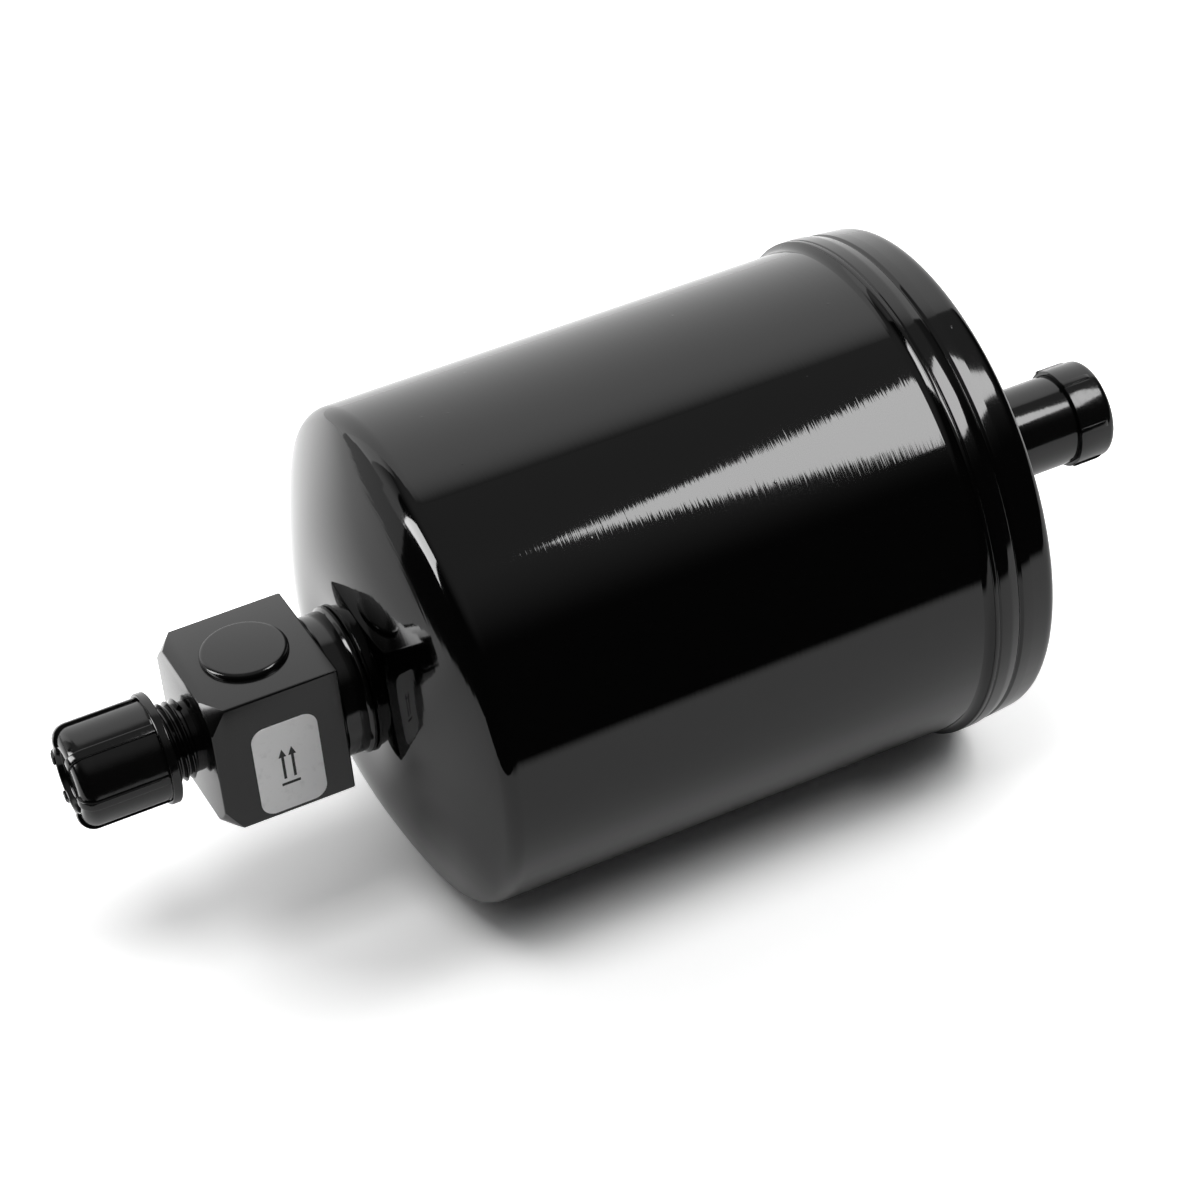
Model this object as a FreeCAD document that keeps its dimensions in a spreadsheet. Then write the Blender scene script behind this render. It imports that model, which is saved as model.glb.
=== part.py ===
import FreeCAD, Part
import math
import os
import re

import Sketcher

# Receiver drier lying on its side. The flow axis is X, with the inlet flare toward -X and the outlet tube toward +X.
# The origin is on that axis, in the middle of the straight wall of the shell. Z is up, and the label faces -Y.

# Driving dimensions in millimetres, angles in degrees
DIMENSIONS = {
    "shell_radius": 50.8,
    "shell_wall": 2.0,
    "seat_length": 98.4,
    "knuckle_radius": 4.0,
    "crown_radius": 56.0,
    "crown_angle": 30.0,
    "mouth_lap": 7.0,
    "mouth_set": 0.6,
    "weld_leg": 1.7,
    "skirt_gap": 0.05,
    "skirt_edge": 0.3,
    "cover_wall": 2.0,
    "skirt_length": 5.8,
    "groove_depth": 0.9,
    "groove_width": 0.7,
    "rim_step": 0.35,
    "rim_width": 5.4,
    "rim_taper": 0.4,
    "rim_radius": 2.5,
    "dish_radius": 220.0,
    "dish_edge": 5.0,
    "bar_width": 28.575,
    "bar_length": 26.2,
    "corner_cut_radius": 16.8,
    "neck_length": 4.53,
    "neck_bore_radius": 6.0,
    "spigot_wall": 3.4,
    "spigot_fit": 0.05,
    "neck_shoulder": 4.8,
    "weld_ring_width": 1.4,
    "weld_ring_rise": 0.6,
    "collar_length": 2.6,
    "collar_tail_wall": 2.35,
    "collar_tail": 1.6,
    "stub_length": 22.0,
    "relief_length": 1.2,
    "relief_depth": 0.3,
    "flare_bore_radius": 4.0,
    "flare_lip": 0.7,
    "flare_height": 2.4,
    "thread_depth": 0.8,
    "plug_height": 1.35,
    "plug_edge": 0.45,
    "plug_stem_radius": 6.3,
    "plug_overhang": 2.3,
    "plug_stem_length": 6.5,
    "seal_depth": 3.575,
    "port_fit": 0.05,
    "seal_cord_radius": 0.8,
    "label_width": 13.4,
    "label_height": 20.4,
    "label_corner": 2.9,
    "label_thickness": 0.1,
    "label_drop": 3.1,
    "label_shift": 0.8,
    "cap_clearance": 0.3,
    "cap_wall": 1.8,
    "cap_wall_end": 1.6,
    "cap_end_round": 2.4,
    "cap_rib_rise": 0.55,
    "cap_rib_width": 1.3,
    "cap_exposed_thread": 6.1,
    "cap_flange_rise": 1.1,
    "cap_flange_width": 1.9,
    "liner_thickness": 1.2,
    "tube_radius": 9.4,
    "tube_reach": 38.9,
    "tube_inner_reach": 2.0,
    "socket_wall": 1.4,
    "socket_depth": 16.0,
    "pipe_stop": 1.2,
    "tube_edge_round": 0.5,
    "collar_height": 2.2,
    "braze_leg": 1.4,
    "tube_cap_wall": 0.77,
    "tube_cap_fit": 0.08,
    "tube_cap_cover": 7.1,
    "tube_cap_end": 1.1,
    "tube_cap_round": 1.6,
    "tube_cap_rib_rise": 0.3,
    "bed_fit": 0.3,
    "deflector_fit": 0.2,
    "deflector_wall": 1.0,
    "deflector_length": 8.0,
    "window_width": 5.0,
    "window_length": 4.5,
    "coil_radius": 18.6,
    "coil_wire_radius": 1.2,
    "coil_length": 17.0,
    "coil_turns": 3.0,
    "plate_thickness": 1.5,
    "plate_hole_radius": 2.5,
    "inner_hole_circle": 15.0,
    "outer_hole_circle": 32.0,
    "felt_thickness": 4.0,
    "support_wall": 1.5,
    "strainer_length": 12.0,
    "strainer_wall": 0.5,
    "strainer_fit": 0.1,
    "flange_thickness": 0.8,
}

# Places and sizes that follow from the driving ones
DERIVED = {
    "seat_left": "-seat_length / 2",
    "seat_right": "seat_length / 2",
    "knuckle_centre": "shell_radius - knuckle_radius",
    "crown_reach": "crown_radius - knuckle_radius",
    "crown_x": "seat_left + crown_reach * cos(crown_angle * 1 deg)",
    "crown_r": "knuckle_centre - crown_reach * sin(crown_angle * 1 deg)",
    "tangent_x": "seat_left - knuckle_radius * cos(crown_angle * 1 deg)",
    "tangent_r": "knuckle_centre + knuckle_radius * sin(crown_angle * 1 deg)",
    "knuckle_inner": "knuckle_radius - shell_wall",
    "tangent_inner_x": "seat_left - knuckle_inner * cos(crown_angle * 1 deg)",
    "tangent_inner_r": "knuckle_centre + knuckle_inner * sin(crown_angle * 1 deg)",
    "head_x": "crown_x - crown_radius",
    "head_inner_x": "head_x + shell_wall",
    "shell_inner": "shell_radius - shell_wall",
    "mouth_x": "seat_right + mouth_lap",
    "mouth_radius": "shell_radius - mouth_set",
    "skirt_edge_x": "seat_right + weld_leg",
    "skirt_inner": "mouth_radius + skirt_gap",
    "skirt_outer": "skirt_inner + cover_wall",
    "groove_x": "skirt_edge_x + skirt_length",
    "groove_r": "skirt_outer - groove_depth",
    "rim_start_x": "groove_x + groove_width",
    "rim_start_r": "groove_r + rim_step",
    "rim_end_x": "rim_start_x + rim_width",
    "rim_end_r": "rim_start_r - rim_taper",
    "cover_face_x": "rim_end_x + rim_radius",
    "cover_corner_r": "rim_end_r - rim_radius",
    "cover_inner_r": "rim_end_r - cover_wall",
    "cover_inner_x": "cover_face_x - cover_wall",
    "dish_start_r": "cover_corner_r - dish_edge",
    "dish_rise": "dish_radius - sqrt(dish_radius ^ 2 - dish_start_r ^ 2)",
    "tube_hole_r": "tube_radius + spigot_fit",
    "collar_outer_r": "tube_hole_r + cover_wall",
    "dish_end_x": "cover_face_x + sqrt(dish_radius ^ 2 - collar_outer_r ^ 2) - dish_radius + dish_rise",
    "collar_end_x": "dish_end_x + collar_height",
    "spigot_radius": "neck_bore_radius + spigot_wall",
    "neck_radius": "spigot_radius + neck_shoulder",
    "collar_left_x": "head_x - collar_length",
    "weld_ring_x": "collar_left_x - weld_ring_width",
    "bar_right_x": "weld_ring_x - neck_length",
    "bar_left_x": "bar_right_x - bar_length",
    "bar_middle_x": "bar_right_x - bar_length / 2",
    "collar_tail_x": "head_inner_x + collar_tail",
    "collar_bore_r": "spigot_radius + spigot_fit",
    "collar_seat_radius": "collar_bore_r + collar_tail_wall",
    "head_hole_r": "collar_seat_radius + spigot_fit",
    "stub_tip_x": "bar_left_x - stub_length",
    "flare_tip_radius": "flare_bore_radius + flare_lip",
    "thread_root_radius": "flare_tip_radius + flare_height",
    "thread_crest_radius": "thread_root_radius + thread_depth",
    "relief_r": "thread_root_radius - relief_depth",
    "nose_x": "stub_tip_x + flare_height",
    "plug_seat_z": "bar_width / 2",
    "plug_radius": "plug_stem_radius + plug_overhang",
    "port_radius": "plug_stem_radius + port_fit",
    "port_bottom_z": "plug_seat_z - plug_stem_length - 2 * seal_cord_radius",
    "cap_open_x": "bar_left_x - cap_exposed_thread",
    "cap_bore_r": "thread_crest_radius + cap_clearance",
    "cap_radius": "cap_bore_r + cap_wall",
    "cap_flange_radius": "cap_radius + cap_flange_rise",
    "cap_floor_x": "stub_tip_x - cap_clearance / 3 - liner_thickness",
    "cap_end_x": "cap_floor_x - cap_wall_end",
    "tube_end_x": "cover_face_x + tube_reach",
    "tube_inner_x": "cover_inner_x - tube_inner_reach",
    "socket_x": "tube_end_x - socket_depth",
    "socket_radius": "tube_radius - socket_wall",
    "tube_bore_radius": "socket_radius - pipe_stop",
    "tube_cap_inner": "tube_radius + tube_cap_fit",
    "tube_cap_radius": "tube_cap_inner + tube_cap_wall",
    "tube_cap_open_x": "tube_end_x - tube_cap_cover",
    "tube_cap_floor_x": "tube_end_x + tube_cap_fit",
    "tube_cap_end_x": "tube_cap_floor_x + tube_cap_end",
    "bed_radius": "shell_inner - bed_fit",
    "deflector_end_x": "collar_tail_x + deflector_length",
    "deflector_inner": "collar_seat_radius + deflector_fit",
    "deflector_radius": "deflector_inner + deflector_wall",
    "coil_left_x": "head_inner_x",
    "upper_plate_x": "coil_left_x + coil_length",
    "upper_felt_x": "upper_plate_x + plate_thickness",
    "bed_left_x": "upper_felt_x + felt_thickness",
    "lower_plate_x": "mouth_x",
    "bed_right_x": "lower_plate_x - felt_thickness",
    "support_x": "lower_plate_x + plate_thickness",
    "support_r": "cover_inner_r - bed_fit",
}

doc = FreeCAD.newDocument("ReceiverDrier")
sheet = doc.addObject("Spreadsheet::Sheet", "Dims")
for row, (word, value) in enumerate(DIMENSIONS.items(), start=1):
    sheet.set(f"A{row}", word)
    sheet.set(f"B{row}", str(value))
    sheet.setAlias(f"B{row}", word)
doc.recompute()


def bound(text):
    """Expression text over the sheet's cells, with the derived names written out."""
    def swap(match):
        word = match[0]
        if word in DERIVED:
            return "(" + bound(DERIVED[word]) + ")"
        return "Dims." + word if word in DIMENSIONS else word
    return re.sub(r"[a-z_]+", swap, text)


def value_of(text):
    """The number that an expression text has now."""
    return float(sheet.evalExpression(bound(text)))


def new_body(label):
    body = doc.addObject("PartDesign::Body", label)
    body.Label = label
    return body


def new_sketch(body, name, role="XY_Plane"):
    plane = next(item for item in body.Origin.OriginFeatures if item.Role == role)
    sketch = body.newObject("Sketcher::SketchObject", name)
    sketch.AttachmentSupport = [(plane, "")]
    sketch.MapMode = "FlatFace"
    return sketch


def pin_coordinate(sketch, kind, element, point, text):
    """Ties one coordinate of a sketch point to an expression."""
    if text == "0":
        axis = -2 if kind == "DistanceX" else -1
        sketch.addConstraint(Sketcher.Constraint("PointOnObject", element, point, axis))
        return
    number = sketch.addConstraint(Sketcher.Constraint(kind, -1, 1, element, point, value_of(text)))
    sketch.setExpression(f"Constraints[{number}]", bound(text))


def arc_between(centre, start, end):
    """The short arc from start to end, and whether it runs against the clock."""
    first = math.atan2(start[1] - centre[1], start[0] - centre[0])
    last = math.atan2(end[1] - centre[1], end[0] - centre[0])
    forward = (last - first) % (2 * math.pi) < math.pi
    radius = math.hypot(start[0] - centre[0], start[1] - centre[1])
    circle = Part.Circle(FreeCAD.Vector(*centre, 0), FreeCAD.Vector(0, 0, 1), radius)
    if forward:
        return Part.ArcOfCircle(circle, first, last), True
    return Part.ArcOfCircle(circle, last, first), False


def outline(sketch, corners):
    """A closed outline. A corner is (x, y), or (x, y, centre x, centre y, free) where an arc leads to it, with the
    coordinate named free left to the arc."""
    places = [(value_of(corner[0]), value_of(corner[1])) for corner in corners]
    ends = []
    for index, corner in enumerate(corners):
        start = places[index - 1]
        end = places[index]
        if len(corner) == 2:
            line = Part.LineSegment(FreeCAD.Vector(*start, 0), FreeCAD.Vector(*end, 0))
            element = sketch.addGeometry(line, False)
            ends.append((element, 1, 2))
            continue
        centre = (value_of(corner[2]), value_of(corner[3]))
        arc, forward = arc_between(centre, start, end)
        element = sketch.addGeometry(arc, False)
        ends.append((element, 1, 2) if forward else (element, 2, 1))
        pin_coordinate(sketch, "DistanceX", element, 3, corner[2])
        pin_coordinate(sketch, "DistanceY", element, 3, corner[3])
    for index, corner in enumerate(corners):
        element, _, last = ends[index]
        following, first, _ = ends[(index + 1) % len(ends)]
        sketch.addConstraint(Sketcher.Constraint("Coincident", element, last, following, first))
        free = corner[4] if len(corner) == 5 else ""
        if free != "x":
            pin_coordinate(sketch, "DistanceX", element, last, corner[0])
        if free != "y":
            pin_coordinate(sketch, "DistanceY", element, last, corner[1])


def turn(body, sketch, name="turned", kind="Revolution", axis="H_Axis"):
    feature = body.newObject("PartDesign::" + kind, name)
    feature.Profile = sketch
    feature.ReferenceAxis = (sketch, [axis])
    feature.Angle = 360
    return feature


def turned_piece(label, corners):
    """A piece turned about the flow axis from its outline in x and radius."""
    body = new_body(label)
    sketch = new_sketch(body, label + "_profile")
    outline(sketch, corners)
    turn(body, sketch, label + "_turned")
    return body


def ring_of(body, feature, copies, axis_name="X_Axis"):
    """Repeats a feature evenly about the flow axis."""
    pattern = body.newObject("PartDesign::PolarPattern", feature.Name + "_ring")
    pattern.Originals = [feature]
    axis = next(item for item in body.Origin.OriginFeatures if item.Role == axis_name)
    pattern.Axis = (axis, [""])
    pattern.Angle = 360
    pattern.Occurrences = copies
    body.Tip = pattern
    return pattern


def extrude(body, sketch, name, kind, length, **settings):
    feature = body.newObject("PartDesign::" + kind, name)
    feature.Profile = sketch
    feature.setExpression("Length", bound(length))
    for key, value in settings.items():
        setattr(feature, key, value)
    return feature


# Shell: a drawn can with a domed head, pierced for the neck collar, and with its mouth turned down for the cover
def make_shell():
    return turned_piece("shell", [
        ("head_x", "head_hole_r"),
        ("head_x", "crown_r"),
        ("tangent_x", "tangent_r", "crown_x", "crown_r", "y"),
        ("seat_left", "shell_radius", "seat_left", "knuckle_centre", "y"),
        ("seat_right", "shell_radius"),
        ("seat_right", "mouth_radius"),
        ("mouth_x", "mouth_radius"),
        ("mouth_x", "shell_inner"),
        ("seat_left", "shell_inner"),
        ("tangent_inner_x", "tangent_inner_r", "seat_left", "knuckle_centre", "y"),
        ("head_inner_x", "crown_r", "crown_x", "crown_r", "x"),
        ("head_inner_x", "head_hole_r"),
    ])


# End cover: a drawn cup whose skirt fits over the shell's mouth, with a rolled groove and a dished end
def make_end_cover():
    groove_inner = "groove_r - cover_wall"
    return turned_piece("end_cover", [
        ("skirt_edge_x", "skirt_inner"),
        ("skirt_edge_x", "skirt_outer - skirt_edge"),
        ("skirt_edge_x + skirt_edge", "skirt_outer"),
        ("skirt_edge_x + skirt_length / 2", "skirt_outer - groove_depth / 8"),
        ("groove_x", "groove_r"),
        ("rim_start_x", "rim_start_r"),
        ("rim_end_x", "rim_end_r"),
        ("cover_face_x", "cover_corner_r", "rim_end_x", "cover_corner_r", "x"),
        ("cover_face_x", "dish_start_r"),
        ("dish_end_x", "collar_outer_r", "cover_face_x - dish_radius + dish_rise", "0", "x"),
        ("collar_end_x", "collar_outer_r"),
        ("collar_end_x", "tube_hole_r"),
        ("dish_end_x - cover_wall", "tube_hole_r"),
        ("cover_inner_x", "dish_start_r"),
        ("cover_inner_x", "cover_corner_r"),
        ("rim_end_x", "cover_inner_r", "rim_end_x", "cover_corner_r", "y"),
        ("groove_x", groove_inner),
        ("mouth_x", groove_inner),
        ("mouth_x", "skirt_inner"),
    ])


# Girth weld: the fillet that closes the cover's skirt to the shell
def make_girth_weld():
    return turned_piece("girth_weld", [
        ("seat_right", "mouth_radius"),
        ("seat_right", "shell_radius"),
        ("skirt_edge_x - weld_leg / 2", "shell_radius + weld_leg / 4"),
        ("skirt_edge_x", "skirt_outer - skirt_edge"),
        ("skirt_edge_x", "mouth_radius"),
    ])


# Manifold block: square bar with its inlet stub and neck turned on it, cross-drilled for the port under the plug
def make_block():
    body = new_body("manifold_block")
    square = new_sketch(body, "bar_section", "YZ_Plane")
    half = "bar_width / 2"
    square.AttachmentOffset.Base.x = 0
    outline(square, [(half, half), ("-" + half, half), ("-" + half, "-" + half), (half, "-" + half)])
    square.setExpression("AttachmentOffset.Base.z", bound("bar_left_x"))
    extrude(body, square, "bar", "Pad", "bar_length")
    chamfer = new_sketch(body, "corner_cut_profile")
    reach = "bar_width - corner_cut_radius"
    outline(chamfer, [
        ("bar_left_x", "corner_cut_radius"),
        ("bar_left_x + " + reach, "bar_width"),
        ("bar_left_x", "bar_width"),
    ])
    turn(body, chamfer, "corner_cut", "Groove")
    ends = new_sketch(body, "ends_profile")
    outline(ends, [
        ("stub_tip_x", "0"),
        ("stub_tip_x", "flare_tip_radius"),
        ("nose_x", "thread_root_radius"),
        ("bar_left_x - relief_length - relief_depth", "thread_root_radius"),
        ("bar_left_x - relief_length", "relief_r"),
        ("bar_left_x", "relief_r"),
        ("bar_right_x", "neck_radius"),
        ("weld_ring_x", "neck_radius"),
        ("weld_ring_x", "spigot_radius"),
        ("collar_tail_x", "spigot_radius"),
        ("collar_tail_x", "0"),
    ])
    turn(body, ends, "turned_ends")
    bore = new_sketch(body, "bore_profile")
    outline(bore, [
        ("stub_tip_x", "0"),
        ("stub_tip_x", "flare_bore_radius"),
        ("bar_middle_x", "flare_bore_radius"),
        ("bar_middle_x", "neck_bore_radius"),
        ("collar_tail_x", "neck_bore_radius"),
        ("collar_tail_x", "0"),
    ])
    turn(body, bore, "bore", "Groove")
    port = new_sketch(body, "port_circle")
    circle = Part.Circle(FreeCAD.Vector(value_of("bar_middle_x"), 0, 0), FreeCAD.Vector(0, 0, 1),
                         value_of("port_radius"))
    element = port.addGeometry(circle, False)
    pin_coordinate(port, "DistanceX", element, 3, "bar_middle_x")
    pin_coordinate(port, "DistanceY", element, 3, "0")
    number = port.addConstraint(Sketcher.Constraint("Radius", element, value_of("port_radius")))
    port.setExpression(f"Constraints[{number}]", bound("port_radius"))
    port.setExpression("AttachmentOffset.Base.z", bound("port_bottom_z"))
    extrude(body, port, "port", "Pocket", "bar_width", Reversed=True)
    return body


# Port plug: a low round blank with a spigot, closing the port on the block's top face
def make_port_plug():
    body = new_body("port_plug")
    profile = new_sketch(body, "plug_profile", "XZ_Plane")
    outline(profile, [
        ("0", "-plug_stem_length"),
        ("plug_stem_radius", "-plug_stem_length"),
        ("plug_stem_radius", "-seal_depth"),
        ("plug_stem_radius - 2 * seal_cord_radius", "-seal_depth"),
        ("plug_stem_radius - 2 * seal_cord_radius", "2 * seal_cord_radius - seal_depth"),
        ("plug_stem_radius", "2 * seal_cord_radius - seal_depth"),
        ("plug_stem_radius", "0"),
        ("plug_radius", "0"),
        ("plug_radius", "plug_height - plug_edge"),
        ("plug_radius - plug_edge", "plug_height", "plug_radius - plug_edge", "plug_height - plug_edge", "y"),
        ("0", "plug_height"),
    ])
    turn(body, profile, "plug_turned", axis="V_Axis")
    body.setExpression("Placement.Base.x", bound("bar_middle_x"))
    body.setExpression("Placement.Base.z", bound("plug_seat_z"))
    return body


# Port seal: the O-ring in the plug's groove
def make_port_seal():
    ring = doc.addObject("Part::Torus", "port_seal")
    ring.setExpression("Radius1", bound("plug_stem_radius - seal_cord_radius"))
    ring.setExpression("Radius2", bound("seal_cord_radius"))
    ring.setExpression("Placement.Base.x", bound("bar_middle_x"))
    ring.setExpression("Placement.Base.z", bound("plug_seat_z - seal_depth + seal_cord_radius"))
    return ring


# Orientation label: a thin rounded sticker on the block's front face
def make_label():
    body = new_body("orientation_label")
    sheet_outline = new_sketch(body, "label_outline", "XZ_Plane")
    wide = "label_width / 2"
    tall = "label_height / 2"
    corners = []
    for side, level in ((1, 1), (-1, 1), (-1, -1), (1, -1)):
        edge_x = f"{side} * ({wide})"
        edge_z = f"{level} * ({tall})"
        centre_x = f"{side} * ({wide} - label_corner)"
        centre_z = f"{level} * ({tall} - label_corner)"
        start = (edge_x, centre_z)
        end = (centre_x, edge_z)
        if side * level < 0:
            start, end = end, start
        corners.append(start)
        corners.append((*end, centre_x, centre_z, "y" if side * level > 0 else "x"))
    outline(sheet_outline, corners)
    extrude(body, sheet_outline, "label_sheet", "Pad", "label_thickness")
    body.setExpression("Placement.Base.x", bound("bar_middle_x + label_shift"))
    body.setExpression("Placement.Base.y", bound("-bar_width / 2"))
    body.setExpression("Placement.Base.z", bound("-label_drop"))
    return body


# Weld ring: metal squeezed out where the block's neck meets the collar
def make_weld_ring():
    low = "neck_radius - weld_ring_rise / 2"
    return turned_piece("neck_weld", [
        ("weld_ring_x", "collar_bore_r"),
        ("weld_ring_x", "neck_radius"),
        ("weld_ring_x + weld_ring_width * 0.25", "neck_radius + weld_ring_rise"),
        ("weld_ring_x + weld_ring_width * 0.55", "neck_radius + weld_ring_rise"),
        ("weld_ring_x + weld_ring_width * 0.75", low),
        ("collar_left_x", low),
        ("collar_left_x", "collar_bore_r"),
    ])


# Neck collar: the bush welded into the shell's head, with its shoulder outside and its tail inside
def make_neck_collar():
    return turned_piece("neck_collar", [
        ("collar_left_x", "collar_bore_r"),
        ("collar_left_x", "neck_radius"),
        ("head_x", "neck_radius"),
        ("head_x", "collar_seat_radius"),
        ("collar_tail_x", "collar_seat_radius"),
        ("collar_tail_x", "collar_bore_r"),
    ])


# Flare cap: a moulded screw cap with a flange at its mouth and six ribs that wrap onto its rounded end
def make_flare_cap():
    body = new_body("flare_cap")
    profile = new_sketch(body, "cap_profile")
    outline(profile, [
        ("cap_end_x", "0"),
        ("cap_end_x", "cap_radius - cap_end_round"),
        ("cap_end_x + cap_end_round", "cap_radius", "cap_end_x + cap_end_round", "cap_radius - cap_end_round", "y"),
        ("cap_open_x - cap_flange_width", "cap_radius"),
        ("cap_open_x - cap_flange_width", "cap_flange_radius"),
        ("cap_open_x", "cap_flange_radius"),
        ("cap_open_x", "cap_bore_r"),
        ("cap_floor_x", "cap_bore_r"),
        ("cap_floor_x", "0"),
    ])
    turn(body, profile, "cap_turned")
    rib = new_sketch(body, "cap_rib_profile", "XZ_Plane")
    crest = "cap_radius + cap_rib_rise"
    outer = "cap_end_x - cap_rib_rise"
    inner = "cap_radius - cap_end_round"
    outline(rib, [
        (outer, inner + " - cap_rib_width"),
        (outer, inner),
        ("cap_end_x + cap_end_round", crest, "cap_end_x + cap_end_round", inner, "y"),
        ("cap_open_x - cap_flange_width", crest),
        ("cap_open_x - cap_flange_width", "cap_radius - cap_rib_rise"),
        ("cap_end_x + cap_end_round", "cap_radius - cap_rib_rise"),
        ("cap_end_x + cap_rib_rise", inner + " - cap_rib_width"),
    ])
    pad = extrude(body, rib, "cap_rib", "Pad", "cap_rib_width", Midplane=True)
    ring_of(body, pad, 6)
    return body


# Cap liner: the soft disc in the flare cap that seals on the stub's nose
def make_cap_liner():
    return turned_piece("cap_liner", [
        ("cap_floor_x", "0"),
        ("cap_floor_x", "cap_bore_r - cap_clearance"),
        ("cap_floor_x + liner_thickness", "cap_bore_r - cap_clearance"),
        ("cap_floor_x + liner_thickness", "0"),
    ])


# Outlet tube: a straight stub with a socket for a soldered pipe and a stop at the socket's foot
def make_outlet_tube():
    return turned_piece("outlet_tube", [
        ("tube_inner_x", "tube_bore_radius"),
        ("tube_inner_x", "tube_radius"),
        ("tube_end_x - tube_edge_round", "tube_radius"),
        ("tube_end_x", "tube_radius - tube_edge_round", "tube_end_x - tube_edge_round",
         "tube_radius - tube_edge_round", "x"),
        ("tube_end_x", "socket_radius"),
        ("socket_x", "socket_radius"),
        ("socket_x", "tube_bore_radius"),
    ])


# Tube braze: the fillet of filler between the cover's collar and the tube
def make_tube_braze():
    return turned_piece("tube_braze", [
        ("collar_end_x", "tube_radius"),
        ("collar_end_x", "tube_radius + braze_leg"),
        ("collar_end_x + braze_leg * 0.35", "tube_radius + braze_leg * 0.35"),
        ("collar_end_x + braze_leg", "tube_radius"),
    ])


# Tube cap: a short pull-off cap over the tube's end, with six low ribs
def make_tube_cap():
    body = new_body("tube_cap")
    profile = new_sketch(body, "tube_cap_profile")
    outline(profile, [
        ("tube_cap_open_x", "tube_cap_inner"),
        ("tube_cap_open_x", "tube_cap_radius"),
        ("tube_cap_end_x - tube_cap_round", "tube_cap_radius"),
        ("tube_cap_end_x", "tube_cap_radius - tube_cap_round", "tube_cap_end_x - tube_cap_round",
         "tube_cap_radius - tube_cap_round", "x"),
        ("tube_cap_end_x", "0"),
        ("tube_cap_floor_x", "0"),
        ("tube_cap_floor_x", "tube_cap_inner"),
    ])
    turn(body, profile, "tube_cap_turned")
    rib = new_sketch(body, "tube_cap_rib_profile", "XZ_Plane")
    outline(rib, [
        ("tube_cap_open_x", "tube_cap_radius - tube_cap_rib_rise"),
        ("tube_cap_end_x - tube_cap_round", "tube_cap_radius - tube_cap_rib_rise"),
        ("tube_cap_end_x - tube_cap_round", "tube_cap_radius + tube_cap_rib_rise"),
        ("tube_cap_open_x", "tube_cap_radius + tube_cap_rib_rise"),
    ])
    pad = extrude(body, rib, "tube_cap_rib", "Pad", "cap_rib_width", Midplane=True)
    ring_of(body, pad, 6)
    return body


# Inlet deflector: a pressed cup on the collar's tail that spreads the flow through six windows
def make_deflector():
    body = new_body("inlet_deflector")
    profile = new_sketch(body, "deflector_profile")
    outline(profile, [
        ("head_inner_x", "deflector_inner"),
        ("head_inner_x", "deflector_radius"),
        ("deflector_end_x", "deflector_radius"),
        ("deflector_end_x", "0"),
        ("deflector_end_x - deflector_wall", "0"),
        ("deflector_end_x - deflector_wall", "deflector_inner"),
    ])
    turn(body, profile, "deflector_turned")
    window = new_sketch(body, "window_outline")
    right = "deflector_end_x - 2 * deflector_wall"
    left = right + " - window_length"
    half = "window_width / 2"
    outline(window, [(left, half), (right, half), (right, "-" + half), (left, "-" + half)])
    cut = extrude(body, window, "window", "Pocket", "2 * deflector_radius", Reversed=True)
    ring_of(body, cut, 6)
    return body


# Bed spring: a round wire coil between the head and the upper plate
def make_bed_spring():
    wire_radius = value_of("coil_wire_radius")
    mean_radius = value_of("coil_radius")
    climb = value_of("coil_length - 2 * coil_wire_radius")
    helix = Part.makeHelix(climb / value_of("coil_turns"), climb, mean_radius)
    section = Part.Wire(Part.makeCircle(wire_radius, FreeCAD.Vector(mean_radius, 0, 0), FreeCAD.Vector(0, 1, 0)))
    coil = Part.Wire(helix).makePipeShell([section], True, True)
    spring = doc.addObject("Part::Feature", "bed_spring")
    spring.Shape = coil
    upright = FreeCAD.Rotation(FreeCAD.Vector(0, 1, 0), 90)
    spring.Placement = FreeCAD.Placement(FreeCAD.Vector(value_of("coil_left_x + coil_wire_radius"), 0, 0), upright)
    return spring


def perforated_plate(label, left, radius):
    """A round plate with two rings of holes."""
    body = turned_piece(label, [
        (left, "0"),
        (left, radius),
        (left + " + plate_thickness", radius),
        (left + " + plate_thickness", "0"),
    ])
    for circle, copies in (("inner_hole_circle", 6), ("outer_hole_circle", 12)):
        hole = new_sketch(body, f"{label}_{circle}", "YZ_Plane")
        round_hole = Part.Circle(FreeCAD.Vector(value_of(circle), 0, 0), FreeCAD.Vector(0, 0, 1),
                                 value_of("plate_hole_radius"))
        element = hole.addGeometry(round_hole, False)
        pin_coordinate(hole, "DistanceX", element, 3, circle)
        pin_coordinate(hole, "DistanceY", element, 3, "0")
        number = hole.addConstraint(Sketcher.Constraint("Radius", element, value_of("plate_hole_radius")))
        hole.setExpression(f"Constraints[{number}]", bound("plate_hole_radius"))
        hole.setExpression("AttachmentOffset.Base.z", bound(left))
        cut = extrude(body, hole, f"{label}_{circle}_cut", "Pocket", "plate_thickness", Reversed=True)
        ring_of(body, cut, copies)
    return body


def round_pad(label, left, right):
    """A plain disc that fills the shell from left to right."""
    return turned_piece(label, [(left, "0"), (left, "bed_radius"), (right, "bed_radius"), (right, "0")])


# Support ring: the spacer that carries the lower plate off the end cover
def make_support_ring():
    return turned_piece("support_ring", [
        ("support_x", "support_r - support_wall"),
        ("support_x", "support_r"),
        ("rim_end_x", "support_r"),
        ("cover_inner_x", "cover_corner_r - bed_fit"),
        ("cover_inner_x", "support_r - support_wall"),
    ])


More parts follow.
